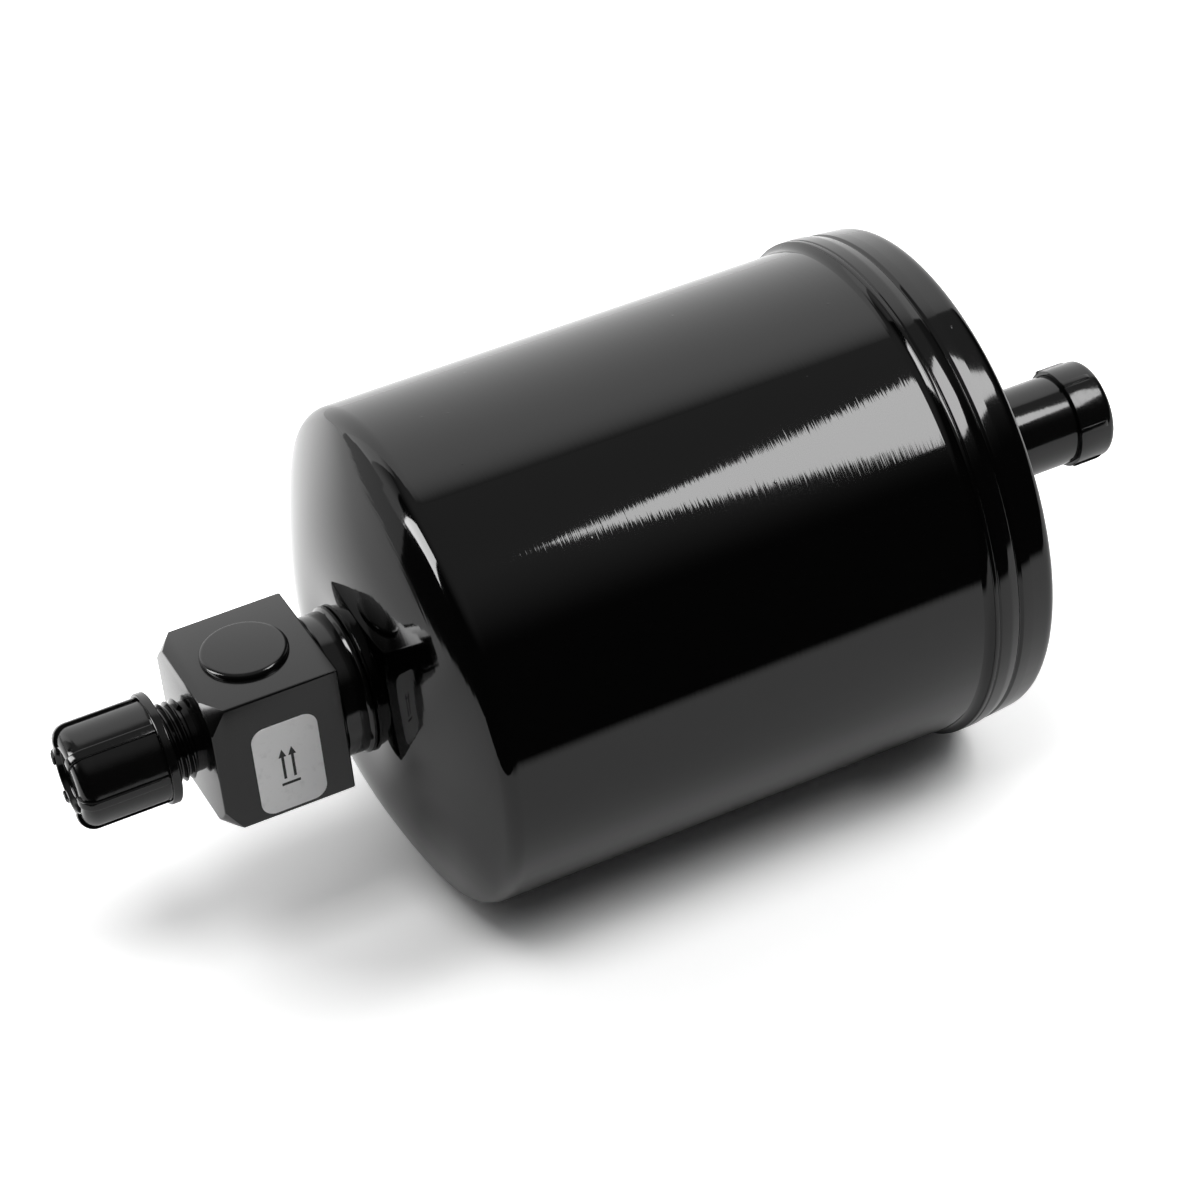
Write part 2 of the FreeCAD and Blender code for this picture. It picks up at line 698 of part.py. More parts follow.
# Outlet strainer: a gauze thimble hung by its flange from the tube's inner end
def make_strainer():
    outer = "tube_bore_radius - strainer_fit"
    inner = outer + " - strainer_wall"
    return turned_piece("outlet_strainer", [
        ("tube_inner_x - flange_thickness", inner),
        ("tube_inner_x - flange_thickness", "tube_radius"),
        ("tube_inner_x", "tube_radius"),
        ("tube_inner_x", outer),
        ("tube_inner_x + strainer_length", outer),
        ("tube_inner_x + strainer_length", "0"),
        ("tube_inner_x + strainer_length - strainer_wall", "0"),
        ("tube_inner_x + strainer_length - strainer_wall", inner),
    ])


pieces = [
    make_block(),
    make_port_plug(),
    make_port_seal(),
    make_label(),
    make_weld_ring(),
    make_neck_collar(),
    make_shell(),
    make_girth_weld(),
    make_end_cover(),
    make_outlet_tube(),
    make_tube_braze(),
    make_flare_cap(),
    make_cap_liner(),
    make_tube_cap(),
    make_deflector(),
    make_bed_spring(),
    perforated_plate("upper_plate", "upper_plate_x", "bed_radius"),
    round_pad("upper_felt", "upper_felt_x", "bed_left_x"),
    round_pad("desiccant_bed", "bed_left_x", "bed_right_x"),
    round_pad("lower_felt", "bed_right_x", "lower_plate_x"),
    perforated_plate("lower_plate", "lower_plate_x", "support_r"),
    make_support_ring(),
    make_strainer(),
]
doc.recompute()

for item in doc.Objects:
    for state in item.State:
        assert state not in ("Invalid", "Error"), f"{item.Name} is {state}"

os.makedirs("parts", exist_ok=True)
for piece in pieces:
    shape = piece.Shape
    assert shape.isValid() and len(shape.Solids) == 1, f"{piece.Label} is not one valid solid"
    print(f"{piece.Label}: {shape.Volume / 1000:.2f} cm3")
    shape.exportStep(f"parts/{piece.Label}.step")
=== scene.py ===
import math

import bpy
from mathutils import Euler, Matrix, Vector


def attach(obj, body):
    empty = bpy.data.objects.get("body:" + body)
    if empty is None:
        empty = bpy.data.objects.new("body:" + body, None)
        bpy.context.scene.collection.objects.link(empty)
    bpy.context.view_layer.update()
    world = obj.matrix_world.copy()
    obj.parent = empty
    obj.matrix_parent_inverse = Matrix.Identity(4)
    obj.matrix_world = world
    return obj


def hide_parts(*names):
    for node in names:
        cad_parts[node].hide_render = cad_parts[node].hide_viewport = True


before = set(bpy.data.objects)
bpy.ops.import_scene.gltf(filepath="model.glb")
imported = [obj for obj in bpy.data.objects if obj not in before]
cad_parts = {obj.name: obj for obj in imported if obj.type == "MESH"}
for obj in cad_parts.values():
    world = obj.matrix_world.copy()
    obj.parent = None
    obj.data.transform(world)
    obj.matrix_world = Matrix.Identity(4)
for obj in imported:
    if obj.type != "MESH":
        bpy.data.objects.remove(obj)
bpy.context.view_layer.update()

MM = 0.001

# Sizes in millimetres, along the flow axis X and as radii about it

# Shell: its head meets the knuckle at KNUCKLE_START degrees, and its mouth is set in under the cover's skirt
SHELL_RADIUS = 50.8
SHELL_WALL = 2.0
SEAT_HALF = 49.2
KNUCKLE = 4.0
KNUCKLE_START = 30
HEAD_RIM = 11.9
MOUTH_RADIUS = 50.2
MOUTH_X = 56.2

# End cover and the collar pressed out of its middle
COVER_EDGE = 50.9
COVER_BORE = 50.25
COVER_FACE = 65.3
COVER_WALL = 2.0
DISH_RADIUS = 43.8
COLLAR_RADIUS = 11.45
COLLAR_END = 71.6

# Inlet block, its neck and its port plug
BAR_LEFT = -94.9
BAR_RIGHT = -68.7
BAR_HALF = 14.2875
CORNER_CUT = 16.8
NECK_RADIUS = 14.2
SPIGOT_RADIUS = 12.5
PLUG_X = -81.8
PLUG_RADIUS = 8.6
PLUG_HEIGHT = 1.35

# Flare stub with its 5/8-18 thread
STUB_TIP = -116.9
STUB_BORE = 4.0
THREAD_ROOT = 7.1
THREAD_CREST = 7.9
THREAD_PITCH = 1.411
THREAD_TURNS = 11

# Flare cap
CAP_OPEN = -101.0
CAP_FLOOR = -118.2
CAP_END = -119.8
CAP_SINK = 1.3
CAP_RADIUS = 10.0
CAP_BORE = 8.2
FLANGE_RADIUS = 11.1
FLANGE_WIDTH = 1.9

# Outlet tube and its cap
TUBE_RADIUS = 9.4
TUBE_BORE = 6.8
TUBE_END = 104.2
SOCKET_RADIUS = 8.0
SOCKET_DEPTH = 16
TUBE_CAP_OPEN = 97.1
TUBE_CAP_END = 105.38
TUBE_CAP_RADIUS = 10.25
TUBE_CAP_BORE = 9.48

# Both caps have the same number of ribs
RIBS = 6

# How many faces go round the can, the neck, the small turned pieces, the stub and a turn of its thread
CAN_STEPS = 256
NECK_STEPS = 160
SMALL_STEPS = 128
STUB_STEPS = 96
THREAD_STEPS = 48

# Printed mark on the label
MARK_X = -81.15
INK_THICK = 0.02
# The ink's middle, just proud of the label's face
INK_Y = -BAR_HALF - 0.115


# Colours and materials

def linear(code):
    """An sRGB hex colour as linear red, green, blue and alpha."""
    channels = [int(code[i:i + 2], 16) / 255 for i in (1, 3, 5)]
    return [c / 12.92 if c <= 0.04045 else ((c + 0.055) / 1.055) ** 2.4 for c in channels] + [1.0]


def grains(size_mm):
    """The scale at which a pattern on Object coordinates, which are in metres, has grains of this size."""
    return 1 / (size_mm * MM)


def add(tree, kind, settings=None, links=None):
    """Adds a shader node, sets its sockets and properties, and links its inputs. A number names a socket by
    its place: a Mix node takes colours in 6 and 7 and gives one from 2, and takes plain values in 2 and 3."""
    made = tree.nodes.new("ShaderNode" + kind)
    for key, value in (settings or {}).items():
        if isinstance(key, int) or key in made.inputs:
            made.inputs[key].default_value = value
        else:
            setattr(made, key, value)
    for key, source in (links or {}).items():
        tree.links.new(source, made.inputs[key])
    return made


def new_material(name):
    """An empty material of this name, and its node tree."""
    material = bpy.data.materials.new(name)
    material.use_nodes = True
    tree = material.node_tree
    tree.nodes.clear()
    return material, tree


def finish_material(tree, shader):
    """Gives the material the surface that its nodes have worked out."""
    add(tree, "OutputMaterial", links={"Surface": shader})


def speckle(tree, place, cell_mm, speck_mm, share):
    """Small round specks, about one to a cell, in only a share of the cells."""
    cells = add(tree, "TexVoronoi", {"Scale": grains(cell_mm)}, {"Vector": place})
    disc = add(tree, "MapRange", {"From Min": speck_mm / cell_mm, "From Max": 0.0, "To Min": 0.0,
                                  "To Max": 1.0}, {"Value": cells.outputs["Distance"]})
    pick = add(tree, "Math", {"operation": "LESS_THAN", 1: share}, {0: cells.outputs["Color"]})
    return add(tree, "Math", {"operation": "MULTIPLY"}, {0: disc.outputs[0], 1: pick.outputs[0]})


def black_enamel(name, code, roughness, line_height, peel_height, nib_share):
    """Sprayed and baked black enamel over steel: glossy, with the drawing or turning lines of the steel
    showing through as ripples round the axis, a slow orange peel, and a few dust nibs caught in the paint."""
    material, tree = new_material(name)
    place = add(tree, "TexCoord").outputs["Object"]
    # Lines 0.5 mm apart along the axis, each some 20 mm long round it
    stretched = add(tree, "Mapping", {"Scale": (grains(0.5), grains(20), grains(20))}, {"Vector": place})
    lines = add(tree, "TexNoise", {"Scale": 1.0, "Detail": 2.0, "Roughness": 0.55},
                {"Vector": stretched.outputs[0]})
    peel = add(tree, "TexNoise", {"Scale": grains(5), "Detail": 1.0}, {"Vector": place})
    nibs = speckle(tree, place, cell_mm=7.0, speck_mm=0.32, share=nib_share)
    # The polish drifts over some 33 mm
    drift = add(tree, "TexNoise", {"Scale": grains(33.333), "Detail": 3.0}, {"Vector": place})
    polish = add(tree, "MapRange", {"From Min": 0.35, "From Max": 0.7, "To Min": roughness * 0.8,
                                    "To Max": roughness * 1.3}, {"Value": drift.outputs["Fac"]})
    slow = add(tree, "Bump", {"Strength": 1.0, "Distance": peel_height * MM}, {"Height": peel.outputs["Fac"]})
    fine = add(tree, "Bump", {"Strength": 1.0, "Distance": line_height * MM},
               {"Height": lines.outputs["Fac"], "Normal": slow.outputs[0]})
    specks = add(tree, "Bump", {"Strength": 1.0, "Distance": 0.05 * MM},
                 {"Height": nibs.outputs[0], "Normal": fine.outputs[0]})
    shader = add(tree, "BsdfPrincipled", {"Base Color": linear(code), "IOR": 1.5},
                 {"Roughness": polish.outputs[0], "Normal": specks.outputs[0]})
    finish_material(tree, shader.outputs[0])
    return material


def moulded_plastic(name, code, roughness):
    """Injection-moulded polyethylene: smooth and glossy, with slow sinks from the mould and faint scuffs."""
    material, tree = new_material(name)
    place = add(tree, "TexCoord").outputs["Object"]
    sinks = add(tree, "TexNoise", {"Scale": grains(3.846), "Detail": 2.0}, {"Vector": place})
    scuffs = add(tree, "TexNoise", {"Scale": grains(1.111), "Detail": 4.0, "Roughness": 0.7},
                 {"Vector": place})
    gloss = add(tree, "MapRange", {"From Min": 0.4, "From Max": 0.75, "To Min": roughness,
                                   "To Max": roughness * 2.2}, {"Value": scuffs.outputs["Fac"]})
    bump = add(tree, "Bump", {"Strength": 1.0, "Distance": 0.03 * MM}, {"Height": sinks.outputs["Fac"]})
    shader = add(tree, "BsdfPrincipled", {"Base Color": linear(code), "IOR": 1.5},
                 {"Roughness": gloss.outputs[0], "Normal": bump.outputs[0]})
    finish_material(tree, shader.outputs[0])
    return material


def coated_paper(name, code, rubbed_code):
    """Matt coated label paper, pale grey, with its fibres just showing and faint rubbed smudges."""
    material, tree = new_material(name)
    place = add(tree, "TexCoord").outputs["Object"]
    fibre = add(tree, "TexNoise", {"Scale": grains(1 / 3), "Detail": 2.0}, {"Vector": place})
    smudge = add(tree, "TexNoise", {"Scale": grains(2.381), "Detail": 4.0, "Roughness": 0.6},
                 {"Vector": place})
    dirt = add(tree, "MapRange", {"From Min": 0.55, "From Max": 0.78, "To Min": 0.0, "To Max": 0.35},
               {"Value": smudge.outputs["Fac"]})
    tint = add(tree, "Mix", {"data_type": "RGBA", 6: linear(code), 7: linear(rubbed_code)},
               {0: dirt.outputs[0]})
    bump = add(tree, "Bump", {"Strength": 0.5, "Distance": 0.01 * MM}, {"Height": fibre.outputs["Fac"]})
    shader = add(tree, "BsdfPrincipled", {"Roughness": 0.55, "IOR": 1.45},
                 {"Base Color": tint.outputs[2], "Normal": bump.outputs[0]})
    finish_material(tree, shader.outputs[0])
    return material


def plain_stock(name, code, roughness, grain_mm, height_mm, metallic=0.0):
    """A plain working material: one colour, with an even grain of its own size and height."""
    material, tree = new_material(name)
    place = add(tree, "TexCoord").outputs["Object"]
    grain = add(tree, "TexNoise", {"Scale": grains(grain_mm), "Detail": 3.0}, {"Vector": place})
    shade = add(tree, "MapRange", {"From Min": 0.3, "From Max": 0.7, "To Min": roughness * 0.8,
                                   "To Max": min(1.0, roughness * 1.2)}, {"Value": grain.outputs["Fac"]})
    bump = add(tree, "Bump", {"Strength": 0.6, "Distance": height_mm * MM}, {"Height": grain.outputs["Fac"]})
    shader = add(tree, "BsdfPrincipled", {"Base Color": linear(code), "Metallic": metallic},
                 {"Roughness": shade.outputs[0], "Normal": bump.outputs[0]})
    finish_material(tree, shader.outputs[0])
    return material


# The drawn can shows its drawing lines most, the pressed cover and the turned neck show more orange peel, and
# the sawn bar is duller than the rest. Heights are in millimetres.
SHELL_ENAMEL = black_enamel("baked_black_enamel_on_drawn_steel", "#020202", roughness=0.05,
                            line_height=0.009, peel_height=0.004, nib_share=0.35)
COVER_ENAMEL = black_enamel("baked_black_enamel_on_pressed_cover", "#020202", roughness=0.06,
                            line_height=0.003, peel_height=0.012, nib_share=0.3)
BLOCK_ENAMEL = black_enamel("baked_black_enamel_on_sawn_bar", "#0b0b0b", roughness=0.13,
                            line_height=0.0015, peel_height=0.006, nib_share=0.25)
NECK_ENAMEL = black_enamel("baked_black_enamel_on_turned_neck", "#070707", roughness=0.10,
                           line_height=0.006, peel_height=0.03, nib_share=0.6)
# The caps have a deep, even gloss, and the label is flat and pale beside them
CAP_PLASTIC = moulded_plastic("moulded_black_polyethylene", "#080808", roughness=0.10)
LABEL_STOCK = coated_paper("coated_label_stock", "#f0f0f0", "#bcbcbc")
# Ink without a shine, then the inner pieces: black rubber, grey steel, pale felt, sandy beads, yellow gauze
LABEL_INK = plain_stock("printed_black_ink", "#1c1c1c", roughness=0.5, grain_mm=0.25, height_mm=0.002)
SEAL_RUBBER = plain_stock("moulded_nitrile_rubber", "#161616", roughness=0.6, grain_mm=0.4, height_mm=0.01)
BARE_STEEL = plain_stock("pressed_mild_steel", "#9a9a98", roughness=0.35, grain_mm=0.667, height_mm=0.004,
                         metallic=1.0)
FELT = plain_stock("needled_glass_felt", "#d6d2c6", roughness=0.95, grain_mm=1.11, height_mm=0.2)
SIEVE_BEADS = plain_stock("molecular_sieve_beads", "#c9b99a", roughness=0.85, grain_mm=2.22, height_mm=0.6)
GAUZE = plain_stock("woven_brass_gauze", "#b08d4a", roughness=0.4, grain_mm=0.333, height_mm=0.05,
                    metallic=1.0)


# Modelling helpers

def deselect():
    """Goes back to object mode with nothing selected."""
    if bpy.context.mode != "OBJECT":
        bpy.ops.object.mode_set(mode="OBJECT")
    bpy.ops.object.select_all(action="DESELECT")


def take(obj):
    """Selects one object alone, for the next operator."""
    deselect()
    obj.select_set(True)
    bpy.context.view_layer.objects.active = obj


def settle(obj, name, material, body, angle=30.0):
    """Names a finished piece, puts its place into its mesh, smooths it and gives it its material and body."""
    take(obj)
    bpy.ops.object.transform_apply(location=True, rotation=True, scale=True)
    bpy.ops.object.shade_smooth_by_angle(angle=math.radians(angle))
    obj.name = name
    obj.data.name = name
    obj.data.materials.clear()
    obj.data.materials.append(material)
    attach(obj, body)
    return obj


def apply_modifiers(obj):
    """Applies an object's modifiers, first to last."""
    take(obj)
    for modifier in list(obj.modifiers):
        bpy.ops.object.modifier_apply(modifier=modifier.name)


def round_edges(obj, width, segments, angle):
    """Puts a bevel, its width in millimetres, on the edges that turn by more than an angle in degrees."""
    bevel = obj.modifiers.new("edges", "BEVEL")
    bevel.width = width * MM
    bevel.segments = segments
    bevel.limit_method = "ANGLE"
    bevel.angle_limit = math.radians(angle)


def outline_mesh(points, fill_type):
    """A ring of edges through points in millimetres, filled or left open, taken from a circle."""
    deselect()
    bpy.ops.mesh.primitive_circle_add(vertices=len(points), radius=0.01, fill_type=fill_type)
    obj = bpy.context.object
    for vertex, point in zip(obj.data.vertices, points):
        vertex.co = Vector(point) * MM
    return obj


def tidy_mesh():
    """In edit mode: merges what meets and turns the faces outwards."""
    nearness = 0.001 * MM
    bpy.ops.mesh.select_all(action="SELECT")
    bpy.ops.mesh.remove_doubles(threshold=nearness)
    bpy.ops.mesh.dissolve_degenerate(threshold=nearness)
    bpy.ops.mesh.select_all(action="SELECT")
    bpy.ops.mesh.normals_make_consistent(inside=False)


def arc(centre_x, centre_r, radius, first, last, steps):
    """Points on an arc; the angle starts at -X and turns outwards, in degrees."""
    points = []
    for i in range(steps + 1):
        angle = math.radians(first + (last - first) * i / steps)
        points.append((centre_x - radius * math.cos(angle), centre_r + radius * math.sin(angle)))
    return points


def rounded(corners, steps=5):
    """An outline from corners (x, r) or (x, r, radius), with each radius turned into an arc."""
    points = []
    count = len(corners)
    for i, corner in enumerate(corners):
        here = Vector(corner[:2])
        if len(corner) < 3:
            points.append(tuple(here))
            continue
        before = (Vector(corners[i - 1][:2]) - here).normalized()
        after = (Vector(corners[(i + 1) % count][:2]) - here).normalized()
        half = before.angle(after) / 2
        reach = corner[2] / math.tan(half)
        centre = here + (before + after).normalized() * (corner[2] / math.sin(half))
        start = here + before * reach - centre
        end = here + after * reach - centre
        sweep = start.angle_signed(end)
        for k in range(steps + 1):
            turned_by = Matrix.Rotation(-sweep * k / steps, 2)
            points.append(tuple(centre + turned_by @ start))
    return points


def turned(name, outline, steps, material, body, axis="X", middle=(0, 0, 0), angle=30.0):
    """A piece turned about the flow axis, or about Z, from its closed outline in millimetres."""
    if axis == "X":
        obj = outline_mesh([(along, 0, radius) for along, radius in outline], "NOTHING")
        line = (1, 0, 0)
    else:
        obj = outline_mesh([(radius, 0, along) for along, radius in outline], "NOTHING")
        line = (0, 0, 1)
    bpy.ops.object.mode_set(mode="EDIT")
    bpy.ops.mesh.select_mode(type="VERT")
    bpy.ops.mesh.select_all(action="SELECT")
    bpy.ops.mesh.spin(steps=steps, angle=math.tau, center=(0, 0, 0), axis=line)
    tidy_mesh()
    bpy.ops.object.mode_set(mode="OBJECT")
    obj.location = Vector(middle) * MM
    return settle(obj, name, material, body, angle)


def extruded_plate(corners, thickness, edge=0):
    """A flat plate in the XZ plane from its corners in millimetres, thickened evenly along Y; its edges are
    rounded where edge gives a width."""
    obj = outline_mesh([(x, -thickness / 2, z) for x, z in corners], "NGON")
    bpy.ops.object.mode_set(mode="EDIT")
    bpy.ops.mesh.select_all(action="SELECT")
    bpy.ops.mesh.extrude_region_move(TRANSFORM_OT_translate={"value": (0, thickness * MM, 0)})
    tidy_mesh()
    bpy.ops.object.mode_set(mode="OBJECT")
    if edge:
        round_edges(obj, edge, segments=3, angle=40)
        apply_modifiers(obj)
    return obj


def ribs_round(obj, name, first_angle, material, body):
    """Copies a rib made at the top of the part to even places about the flow axis, then removes the first."""
    for number in range(RIBS):
        copy = obj.copy()
        copy.data = obj.data.copy()
        bpy.context.collection.objects.link(copy)
        copy.rotation_euler = Euler((math.radians(first_angle + number * 360 / RIBS), 0, 0))
        bpy.context.view_layer.update()
        settle(copy, f"{name}_{number + 1}", material, body)
        yield copy
    bpy.data.objects.remove(obj, do_unlink=True)


# Shell: a drawn can, with a crowned head that runs into the wall through a tight knuckle

def head_slope(r):
    """How far the pressed head leans from a flat disc at radius r, in degrees, as a quartic about r = 30 mm:
    it flattens out, and dips a little, towards the neck."""
    s = (r - 30) / 20
    return 17.1798 + s * (17.1068 + s * (-17.396 + s * (2.8458 + s * 11.8451)))


def head_profile(wall, steps):
    """The head's outline in from the knuckle to the neck's hole, at a depth under the outer face."""
    start = math.radians(KNUCKLE_START)
    x = -SEAT_HALF - KNUCKLE * math.cos(start)
    r = SHELL_RADIUS - KNUCKLE * (1 - math.sin(start))
    step = (r - HEAD_RIM) / steps
    points = []
    for _ in range(steps + 1):
        slope = math.radians(head_slope(r))
        points.append((x + wall * math.cos(slope), r - wall * math.sin(slope)))
        x -= step * math.tan(math.radians(head_slope(r - step / 2)))
        r -= step
    return points


def shell_outline():
    """Out along the head and knuckle, along the wall to the set-in mouth, and back inside."""
    knuckle_r = SHELL_RADIUS - KNUCKLE
    points = head_profile(wall=0.0, steps=48)[::-1]
    points += arc(-SEAT_HALF, knuckle_r, KNUCKLE, KNUCKLE_START, 90, 14)[1:]
    points += [(x, SHELL_RADIUS) for x in (-30, 0, 30, SEAT_HALF)]
    points += [(SEAT_HALF, MOUTH_RADIUS), (MOUTH_X, MOUTH_RADIUS), (MOUTH_X, SHELL_RADIUS - SHELL_WALL)]
    points += arc(-SEAT_HALF, knuckle_r, KNUCKLE - SHELL_WALL, 90, KNUCKLE_START, 6)
    points += head_profile(wall=SHELL_WALL, steps=12)[1:]
    return points


shell = turned("drawn_shell", shell_outline(), CAN_STEPS, SHELL_ENAMEL, "drier")
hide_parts("shell")

# End cover: skirt with its rolled groove, rim and dished end, and the collar that holds the tube

cover_outline = rounded([
    # the skirt's edge, with a fine line rolled in behind it
    (COVER_EDGE, COVER_BORE),
    (COVER_EDGE, 52.22, 0.3),
    (51.7, 52.25, 0.25),
    (51.95, 52.0, 0.15),
    (52.2, 52.25, 0.3),
    # the skirt and its rolled groove
    (54.6, 52.2, 3.0),
    (56.3, 51.75, 0.5),
    (56.75, 51.32, 0.2),
    (57.4, 51.74, 0.35),
    # the tapered rim
    (59.6, 51.6, 2.0),
    (62.6, 51.3, 2.0),
    (COVER_FACE, 51.0, 2.4),
    # the dished end and the collar
    (COVER_FACE, DISH_RADIUS, 6.0),
    (COLLAR_END - 2.0, COLLAR_RADIUS, 0.6),
    (COLLAR_END, COLLAR_RADIUS, 0.4),
    (COLLAR_END, TUBE_RADIUS + 0.05),
    (COLLAR_END - 3.5, TUBE_RADIUS + 0.05),
    # the inner face, and the step that takes the can's mouth
    (COVER_FACE - COVER_WALL, DISH_RADIUS),
    (COVER_FACE - COVER_WALL, 49.3, 1.0),
    (MOUTH_X + 0.2, 49.7),
    (MOUTH_X + 0.2, COVER_BORE),
], 6)
cover = turned("pressed_end_cover", cover_outline, CAN_STEPS, COVER_ENAMEL, "drier")
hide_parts("end_cover")

# Girth weld: a hollow fillet between the shell's wall and the skirt's edge
weld_outline = [
    (49.15, 50.1), (49.15, SHELL_RADIUS), (49.7, 50.92), (50.2, 51.2), (50.6, 51.6), (50.88, 51.98),
    (51.1, 51.6), (51.1, 50.1),
]
weld = turned("girth_weld_fillet", weld_outline, CAN_STEPS, COVER_ENAMEL, "drier", angle=60.0)
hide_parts("girth_weld")


# Inlet block: a sawn square bar whose left end is turned to a cone across its corners

def make_bar():
    """The bar, cut by a 45 degree cone that meets its left face at the radius CORNER_CUT. The box's edges are
    rounded before the cut, because the short edges beside the cut would hold the bevel back."""
    deselect()
    bpy.ops.mesh.primitive_cube_add(size=1, location=((BAR_LEFT + BAR_RIGHT) / 2 * MM, 0, 0))
    bar = bpy.context.object
    bar.scale = ((BAR_RIGHT - BAR_LEFT) * MM, 2 * BAR_HALF * MM, 2 * BAR_HALF * MM)
    bpy.ops.object.transform_apply(location=True, rotation=True, scale=True)
    round_edges(bar, 0.45, segments=4, angle=30)
    apply_modifiers(bar)
    cone = turned("corner_cone", [
        (BAR_LEFT - 0.5, 0), (BAR_LEFT - 0.5, CORNER_CUT - 0.5), (BAR_LEFT + 8, CORNER_CUT + 8),
        (BAR_RIGHT + 5, CORNER_CUT + 8), (BAR_RIGHT + 5, 0),
    ], NECK_STEPS, BLOCK_ENAMEL, "drier")
    cut = bar.modifiers.new("corners", "BOOLEAN")
    cut.operation = "INTERSECT"
    cut.solver = "EXACT"
    cut.object = cone
    round_edges(bar, 0.28, segments=3, angle=25)
    apply_modifiers(bar)
    bpy.data.objects.remove(cone, do_unlink=True)
    return settle(bar, "inlet_bar", BLOCK_ENAMEL, "drier", 20.0)


bar = make_bar()
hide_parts("manifold_block")

# Neck: turned spigot of the block, the squeezed weld ring and the collar at the shell's head
neck = turned("inlet_neck", rounded([
    # in the bar and in a fine groove beside its face, then the neck, then the spigot inside the collar
    (-71.0, 0), (-71.0, NECK_RADIUS - 0.4), (-68.6, NECK_RADIUS - 0.4, 0.2), (-68.2, NECK_RADIUS, 0.3),
    (-63.9, NECK_RADIUS, 0.2), (-63.6, SPIGOT_RADIUS), (-57.0, SPIGOT_RADIUS), (-57.0, 0),
]), NECK_STEPS, NECK_ENAMEL, "drier")
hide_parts("manifold_block")
ring = turned("neck_weld_ring", rounded([
    (-64.0, 12.4), (-64.0, 14.25, 0.1), (-63.5, 14.8, 0.35), (-62.75, 14.8, 0.3), (-62.4, 14.0, 0.25),
    (-62.0, 13.85, 0.2), (-61.7, 12.4),
]), NECK_STEPS, NECK_ENAMEL, "drier")
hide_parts("neck_weld")
collar = turned("neck_collar_bush", rounded([
    (-62.1, HEAD_RIM), (-62.1, 14.0, 0.3), (-61.7, 14.3, 0.3), (-59.9, 14.3), (-59.9, HEAD_RIM),
]), NECK_STEPS, NECK_ENAMEL, "drier")
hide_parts("neck_collar")

# Flare stub: root cylinder with a run-out groove by the block, its nose and bore, and the thread wound on it
stub = turned("flare_stub", rounded([
    (BAR_LEFT + 1, STUB_BORE), (BAR_LEFT + 1, THREAD_ROOT - 0.2), (BAR_LEFT - 1.2, THREAD_ROOT - 0.2),
    (BAR_LEFT - 1.5, THREAD_ROOT), (STUB_TIP + 2.4, THREAD_ROOT), (STUB_TIP, 4.7, 0.2), (STUB_TIP, STUB_BORE),
]), STUB_STEPS, NECK_ENAMEL, "drier")
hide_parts("manifold_block")


def make_thread():
    """Screws one ridge of the thread about the axis, turn after turn, right-handed."""
    start = BAR_LEFT - 2.0 - THREAD_TURNS * THREAD_PITCH
    foot = THREAD_ROOT - 0.15
    shoulder = THREAD_CREST - 0.06
    ridge = [(0, foot), (0.12, THREAD_ROOT), (0.58, shoulder), (0.64, THREAD_CREST), (0.78, THREAD_CREST),
             (0.84, shoulder), (1.30, THREAD_ROOT), (1.40, foot)]
    obj = outline_mesh([(start + along, 0, radius) for along, radius in ridge], "NOTHING")
    screw = obj.modifiers.new("thread", "SCREW")
    screw.axis = "X"
    screw.screw_offset = THREAD_PITCH * MM
    screw.iterations = THREAD_TURNS
    screw.steps = THREAD_STEPS
    screw.render_steps = THREAD_STEPS
    screw.use_merge_vertices = False
    apply_modifiers(obj)
    bpy.ops.object.mode_set(mode="EDIT")
    bpy.ops.mesh.select_all(action="SELECT")
    bpy.ops.mesh.fill_holes(sides=len(ridge))
    bpy.ops.mesh.normals_make_consistent(inside=False)
    bpy.ops.object.mode_set(mode="OBJECT")
    return settle(obj, "flare_thread", NECK_ENAMEL, "drier", 40.0)


thread = make_thread()
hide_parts("manifold_block")

# Port plug: a low round blank with a rounded rim, pressed on the block's top face
plug = turned("port_blank", rounded([
    (-6.0, 0), (-6.0, 5.8), (0.0, 5.8), (0.0, PLUG_RADIUS, 0.12), (PLUG_HEIGHT, PLUG_RADIUS, 0.95),
    (PLUG_HEIGHT, 0),
]), SMALL_STEPS, BLOCK_ENAMEL, "drier", axis="Z", middle=(PLUG_X, 0, BAR_HALF))
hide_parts("port_plug")

# Flare cap: a moulded screw cap with a flange, a sunk end and six ribs that wrap onto the end's rim
cap = turned("flare_cap_body", rounded([
    # the sunk end and its rim, the side, the flange, and the bore up to its floor
    (CAP_END + CAP_SINK, 0), (CAP_END + CAP_SINK, 6.3, 0.4), (CAP_END, 6.5, 0.35), (CAP_END, CAP_RADIUS, 2.9),
    (CAP_OPEN - FLANGE_WIDTH, CAP_RADIUS, 0.3), (CAP_OPEN - FLANGE_WIDTH, FLANGE_RADIUS, 0.35),
    (CAP_OPEN, FLANGE_RADIUS, 0.35), (CAP_OPEN, CAP_BORE, 0.2), (CAP_FLOOR, CAP_BORE, 0.8), (CAP_FLOOR, 0),
], 8), SMALL_STEPS, CAP_PLASTIC, "flare_cap")
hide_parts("flare_cap")
cap_rib = extruded_plate(rounded([
    (CAP_END - 0.5, 6.6), (CAP_END - 0.5, CAP_RADIUS + 0.5, 3.2),
    (CAP_OPEN - FLANGE_WIDTH + 0.1, CAP_RADIUS + 0.5), (CAP_OPEN - FLANGE_WIDTH + 0.1, CAP_RADIUS - 0.6),
    (CAP_END + 3.0, CAP_RADIUS - 0.6), (CAP_END + 0.6, 7.0), (CAP_END + 0.6, 6.6),
], 8), 1.8, edge=0.3)
for rib in ribs_round(cap_rib, "flare_cap_rib", 30, CAP_PLASTIC, "flare_cap"):
    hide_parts("flare_cap")

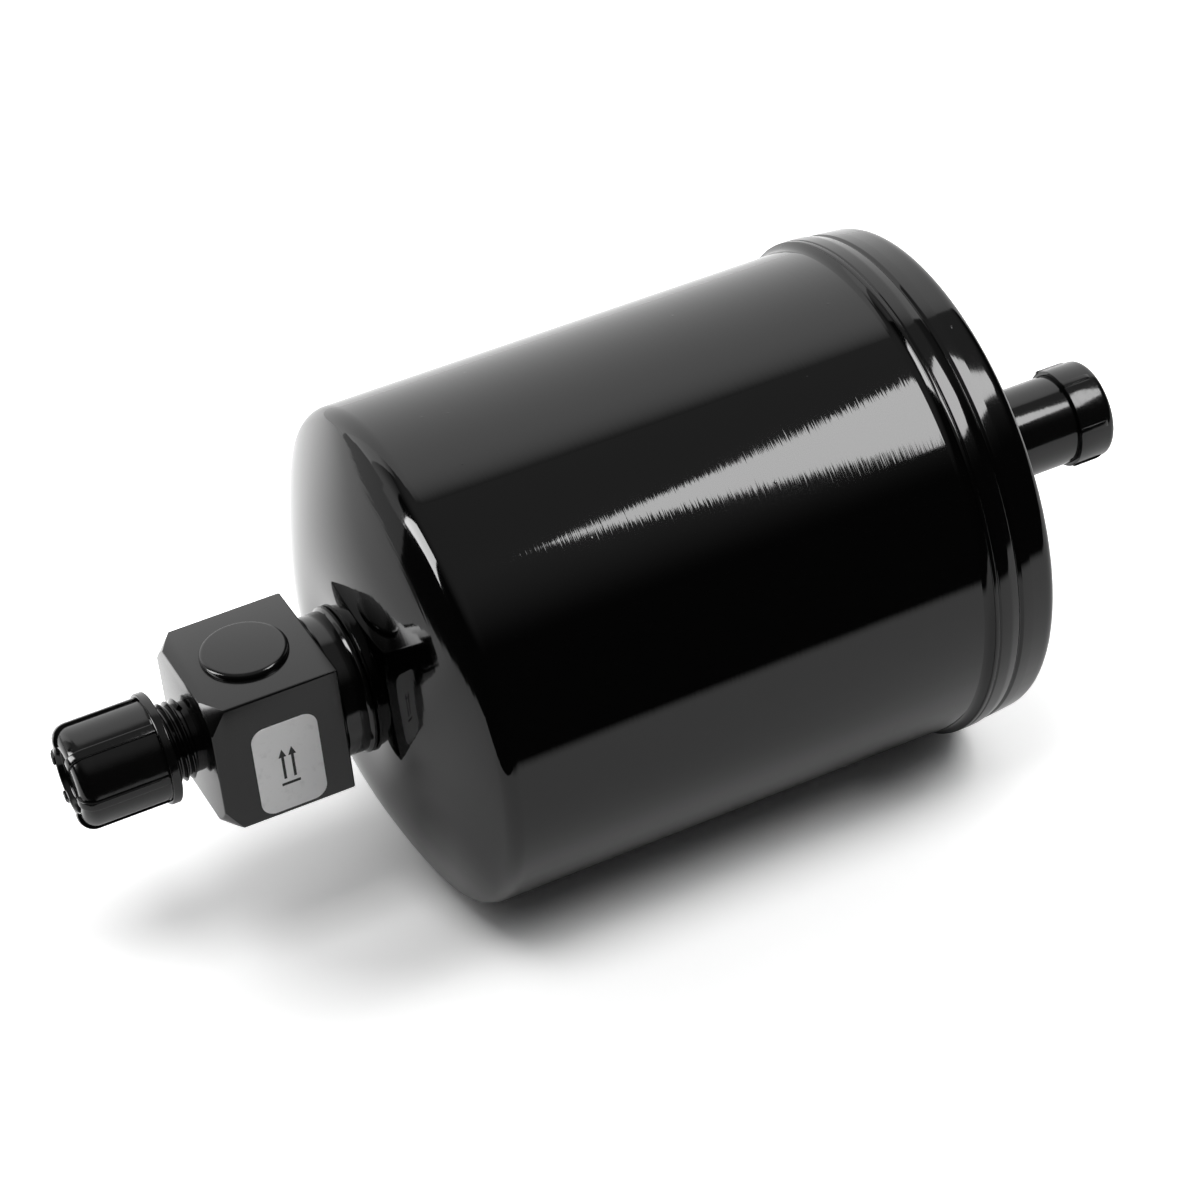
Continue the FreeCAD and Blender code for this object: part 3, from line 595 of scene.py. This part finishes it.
# Outlet tube with its solder socket, its braze fillet and its pull-off cap
tube = turned("outlet_tube_stub", rounded([
    (61.3, TUBE_BORE), (61.3, TUBE_RADIUS), (TUBE_END, TUBE_RADIUS, 0.5), (TUBE_END, SOCKET_RADIUS, 0.3),
    (TUBE_END - SOCKET_DEPTH, SOCKET_RADIUS), (TUBE_END - SOCKET_DEPTH, TUBE_BORE),
]), SMALL_STEPS, NECK_ENAMEL, "drier")
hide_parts("outlet_tube")
braze = turned("tube_braze_fillet", rounded([
    (71.5, 9.35), (71.5, 10.8, 0.2), (72.3, 9.9, 1.0), (73.0, 9.42, 0.1), (73.0, 9.3),
]), SMALL_STEPS, NECK_ENAMEL, "drier")
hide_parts("tube_braze")
tube_cap = turned("tube_cap_body", rounded([
    (TUBE_CAP_OPEN, TUBE_CAP_BORE), (TUBE_CAP_OPEN, TUBE_CAP_RADIUS, 0.15),
    (TUBE_CAP_END, TUBE_CAP_RADIUS, 1.6), (TUBE_CAP_END, 0),
    (TUBE_END + 0.1, 0), (TUBE_END + 0.1, TUBE_CAP_BORE, 0.5),
], 8), SMALL_STEPS, CAP_PLASTIC, "tube_cap")
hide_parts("tube_cap")
tube_rib = extruded_plate(rounded([
    (TUBE_CAP_OPEN, TUBE_CAP_RADIUS - 0.35), (TUBE_CAP_OPEN, TUBE_CAP_RADIUS + 0.3),
    (TUBE_CAP_END - 0.1, TUBE_CAP_RADIUS + 0.3, 1.9), (TUBE_CAP_END - 0.8, 8.9),
], 6), 1.3, edge=0.25)
for rib in ribs_round(tube_rib, "tube_cap_rib", 16, CAP_PLASTIC, "tube_cap"):
    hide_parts("tube_cap")

# Label: the sheet is the CAD node; two printed arrows over a bar show which way is up
ARROW = [(-0.8, 0), (0, 1.9), (0.8, 0), (0.28, 0), (0.28, -5.2), (-0.28, -5.2), (-0.28, 0)]
for number, side in enumerate((-1, 1), start=1):
    arrow = extruded_plate(ARROW, INK_THICK)
    arrow.location = Vector((MARK_X + side, INK_Y, -0.9)) * MM
    settle(arrow, f"up_arrow_{number}", LABEL_INK, "drier")
bar_mark = extruded_plate([(-1.9, 0), (1.9, 0), (1.9, -0.6), (-1.9, -0.6)], INK_THICK)
bar_mark.location = Vector((MARK_X, INK_Y, -7.0)) * MM
settle(bar_mark, "up_arrow_bar", LABEL_INK, "drier")

# CAD nodes that stay as they are, with their real materials
for node, material in {
    "orientation_label": LABEL_STOCK,
    "port_seal": SEAL_RUBBER,
    "cap_liner": SEAL_RUBBER,
    "inlet_deflector": BARE_STEEL,
    "bed_spring": BARE_STEEL,
    "upper_plate": BARE_STEEL,
    "lower_plate": BARE_STEEL,
    "support_ring": BARE_STEEL,
    "upper_felt": FELT,
    "lower_felt": FELT,
    "desiccant_bed": SIEVE_BEADS,
    "outlet_strainer": GAUZE,
}.items():
    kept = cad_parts[node]
    kept.data.materials.clear()
    kept.data.materials.append(material)


# Stage: white paper as the table, a lit sweep, cards and a cloth on the left, a fill cloth and a soft light

# Places on the stage are in millimetres too
FLOOR_Z = -52.3
SWEEP_LEFT = -360
SWEEP_RIGHT = 1400
SWEEP_Y = 575
SWEEP_TOP = 3600
# The table's left side runs back in a curve, which the head's paint mirrors as the end of the white floor
TABLE_EDGE = [(SWEEP_RIGHT, -455), (SWEEP_RIGHT, SWEEP_Y), (-640, SWEEP_Y), (-520, 290), (-440, 190),
              (-300, 31), (-178, -77), (-62, -200)]
# Square to the table's front edge, pointing away from it
FROM_FRONT_EDGE = (0.1696, 0.9855, 0)
# Above 1, so that the lit paper is plain white to the camera and only the drier's shadow shows
PAPER_TONE = 1.5


def stage_sheet(name, corners, material):
    """A sheet of the set from its corners."""
    sheet = outline_mesh(corners, "NGON")
    sheet.name = name
    sheet.data.materials.append(material)
    return sheet


def lit_sheet(name, corners, material):
    """A lit sheet that shows in the paint and not to the camera."""
    sheet = stage_sheet(name, corners, material)
    sheet.visible_camera = False
    return sheet


def glowing(name, strength, far_strength=None, fade_from=0.0, fade_to=1.0):
    """A lit surface; with far_strength it fades upwards between two heights."""
    material, tree = new_material(name)
    glow = add(tree, "Emission", {"Strength": strength})
    if far_strength is not None:
        height = add(tree, "SeparateXYZ", links={0: add(tree, "TexCoord").outputs["Object"]})
        fade = add(tree, "MapRange", {"From Min": fade_from * MM, "From Max": fade_to * MM,
                                      "To Min": strength, "To Max": far_strength,
                                      "interpolation_type": "SMOOTHSTEP"}, {"Value": height.outputs["Z"]})
        tree.links.new(fade.outputs[0], glow.inputs["Strength"])
    finish_material(tree, glow.outputs[0])
    return material


def paper_colour(tree, spot):
    """The paper's colour, with painted shade: it darkens to black along its front edge, so what the paint
    mirrors of it fades there.
    """
    inwards = add(tree, "VectorMath", {"operation": "DOT_PRODUCT", 1: FROM_FRONT_EDGE}, {0: spot})
    # Painted shade: the colour darkens to black over the last 45 mm before the front edge
    roll = add(tree, "MapRange", {"From Min": -210 * MM, "From Max": -165 * MM,
                                  "interpolation_type": "SMOOTHSTEP"}, {"Value": inwards.outputs["Value"]})
    edge_shaded_paper = add(tree, "Mix", {"data_type": "RGBA", 6: linear("#000000"), 7: linear("#ececec")},
                   {0: roll.outputs[0]})
    ray = add(tree, "LightPath")
    tone = add(tree, "Mix", {"data_type": "RGBA", 7: (PAPER_TONE, PAPER_TONE, PAPER_TONE, 1.0)},
               {0: ray.outputs["Is Camera Ray"], 6: edge_shaded_paper.outputs[2]})
    return tone.outputs[2]


def painted_paper_glow(tree, spot):
    """How strongly a painted pool of light glows on the paper: only behind the drier, most at its left end.
    """
    place = add(tree, "SeparateXYZ", links={0: spot})
    leftwards = add(tree, "MapRange", {"From Min": -350 * MM, "From Max": -120 * MM, "To Min": 0.3,
                                       "interpolation_type": "SMOOTHSTEP"}, {"Value": place.outputs["X"]})
    rightwards = add(tree, "MapRange", {"From Min": -110 * MM, "From Max": 0.0, "To Min": 0.95,
                                        "To Max": 0.48, "interpolation_type": "SMOOTHSTEP"},
                     {"Value": place.outputs["X"]})
    backwards = add(tree, "MapRange", {"From Min": 15 * MM, "From Max": 80 * MM,
                                       "interpolation_type": "SMOOTHSTEP"}, {"Value": place.outputs["Y"]})
    sideways = add(tree, "Math", {"operation": "MULTIPLY"},
                   {0: leftwards.outputs[0], 1: rightwards.outputs[0]})
    glow = add(tree, "Math", {"operation": "MULTIPLY"}, {0: sideways.outputs[0], 1: backwards.outputs[0]})
    return glow.outputs[0]


def table_paper():
    """White paper, lit by the set, with a painted glow of light on it behind the drier; from under the table
    it is clear.
    """
    material, tree = new_material("white_table_paper")
    spot = add(tree, "TexCoord").outputs["Object"]
    paper = add(tree, "BsdfDiffuse", links={"Color": paper_colour(tree, spot)})
    # Painted light: the paper itself glows behind the drier, most at its left end
    painted_glow = add(tree, "Emission", links={"Strength": painted_paper_glow(tree, spot)})
    both = add(tree, "AddShader", links={0: paper.outputs[0], 1: painted_glow.outputs[0]})
    side = add(tree, "NewGeometry")
    clear = add(tree, "BsdfTransparent")
    seen = add(tree, "MixShader", links={0: side.outputs["Backfacing"], 1: both.outputs[0],
                                         2: clear.outputs[0]})
    finish_material(tree, seen.outputs[0])
    return material


stage_sheet("table", [(x, y, FLOOR_Z) for x, y in TABLE_EDGE], table_paper())
lit_sheet("sweep", [(SWEEP_LEFT, SWEEP_Y, FLOOR_Z), (SWEEP_RIGHT, SWEEP_Y, FLOOR_Z),
                    (SWEEP_RIGHT, SWEEP_Y, SWEEP_TOP), (SWEEP_LEFT, SWEEP_Y, SWEEP_TOP)],
          glowing("lit_white_sweep", 1.3, far_strength=0.25, fade_from=1000, fade_to=SWEEP_TOP))

# Two cards carry the sweep on round to the left, each dimmer than the last, and a dark grey one fills the gap
# between them and the table
lit_sheet("side_card", [(-360, 640, 10), (-523, 510, 10), (-523, 510, 900), (-360, 640, 900)],
          glowing("lit_side_card", 1.5, far_strength=0.6, fade_from=500, fade_to=900))
lit_sheet("low_card", [(-523, 510, 10), (-649, 361, 20), (-649, 361, 600), (-523, 510, 600)],
          glowing("dim_side_card", 0.75, far_strength=0.3, fade_from=100, fade_to=600))
lit_sheet("gap_card", [(-350, 660, -90), (-660, 370, -90), (-660, 370, 40), (-350, 660, 40)],
          glowing("dark_grey_card", 0.5))

# The left light shows in the head's paint and leaves the paper alone; the fill cloth lights the paper and
# doesn't show in the paint
left_light = lit_sheet("left_light", [(-807, 470, 24), (-933, 151, 103), (-758, -82, 594), (-774, 201, 530)],
                       glowing("left_light_cloth", 12.5))
left_light.visible_diffuse = False
fill_cloth = lit_sheet("fill_cloth", [(-640, -576, 1306), (-140, -576, 1306), (-140, -76, 1306),
                                      (-640, -76, 1306)], glowing("overhead_fill_cloth", 6.9))
fill_cloth.visible_glossy = False

# The soft light, seen in the paint as the long wedge: one corner points left, and its sides run up and down
# from there. Its corners lie on a plane LIGHT_REACH away, given across it and up it.
LIGHT_REACH = 1000
LIGHT_CORNERS = [(-112, 8), (-44, -84), (42, -199), (80, -288), (355, 30), (150, 330), (71, 228), (-17, 103),
                 (-73, 50)]
toward = Vector((0.371, -0.431, 0.822))
across = Vector((0.9286, 0.1723, -0.3286))
rising = toward.cross(across)
lit_sheet("soft_light", [toward * LIGHT_REACH + across * a + rising * b for a, b in LIGHT_CORNERS],
          glowing("soft_light_cloth", 10.4))


# Room: white to the camera; to the paint it is nearly dark, but for a ceiling that brightens overhead

# A direction's Z is 0 at the horizon and 1 straight up
world = bpy.context.scene.world or bpy.data.worlds.new("room")
bpy.context.scene.world = world
world.use_nodes = True
tree = world.node_tree
tree.nodes.clear()
direction = add(tree, "SeparateXYZ", links={"Vector": add(tree, "TexCoord").outputs["Generated"]})
ceiling = add(tree, "MapRange", {"From Min": 0.45, "From Max": 0.9, "To Min": 0.02, "To Max": 0.3,
                                 "interpolation_type": "SMOOTHSTEP"}, {"Value": direction.outputs["Z"]})
ray = add(tree, "LightPath")
level = add(tree, "Mix", {"data_type": "FLOAT", 3: 1.0},
            {0: ray.outputs["Is Camera Ray"], 2: ceiling.outputs[0]})
background = add(tree, "Background", {"Color": (1, 1, 1, 1)}, {"Strength": level.outputs[0]})
add(tree, "OutputWorld", links={"Surface": background.outputs[0]})


# Camera, placed and turned as the photograph was taken

# It looks back from in front, turned to the right and tipped down by these degrees, and is rolled a little
CAMERA_TURN = 23.241
CAMERA_DOWN = 36.958
CAMERA_ROLL = -5.697
# The point near the shell's middle that it looks at, and how far off it stands, in millimetres
LOOK_AT = Vector((-8.27, 0, -3.43))
CAMERA_DISTANCE = 728.5
# The focal length in pixels of the square photograph, and the sensor's width in millimetres
FOCAL_PIXELS = 3695.3
PHOTO_PIXELS = 1200
SENSOR_WIDTH = 36.0

azimuth, elevation, roll = (math.radians(angle) for angle in (CAMERA_TURN, CAMERA_DOWN, CAMERA_ROLL))
look = Vector((math.sin(azimuth) * math.cos(elevation), math.cos(azimuth) * math.cos(elevation),
               -math.sin(elevation)))
level_right = look.cross(Vector((0, 0, 1))).normalized()
level_up = level_right.cross(look)
right = level_right * math.cos(roll) + level_up * math.sin(roll)
up = level_up * math.cos(roll) - level_right * math.sin(roll)
camera_data = bpy.data.cameras.new("camera")
camera_data.sensor_width = SENSOR_WIDTH
camera_data.lens = FOCAL_PIXELS * SENSOR_WIDTH / PHOTO_PIXELS
# It sees from 10 mm to 20 m
camera_data.clip_start = 0.01
camera_data.clip_end = 20
camera = bpy.data.objects.new("camera", camera_data)
bpy.context.collection.objects.link(camera)
facing = Matrix((right, up, -look)).transposed().to_4x4()
camera.matrix_world = Matrix.Translation((LOOK_AT - look * CAMERA_DISTANCE) * MM) @ facing
bpy.context.scene.camera = camera
bpy.context.scene.view_settings.view_transform = "Standard"
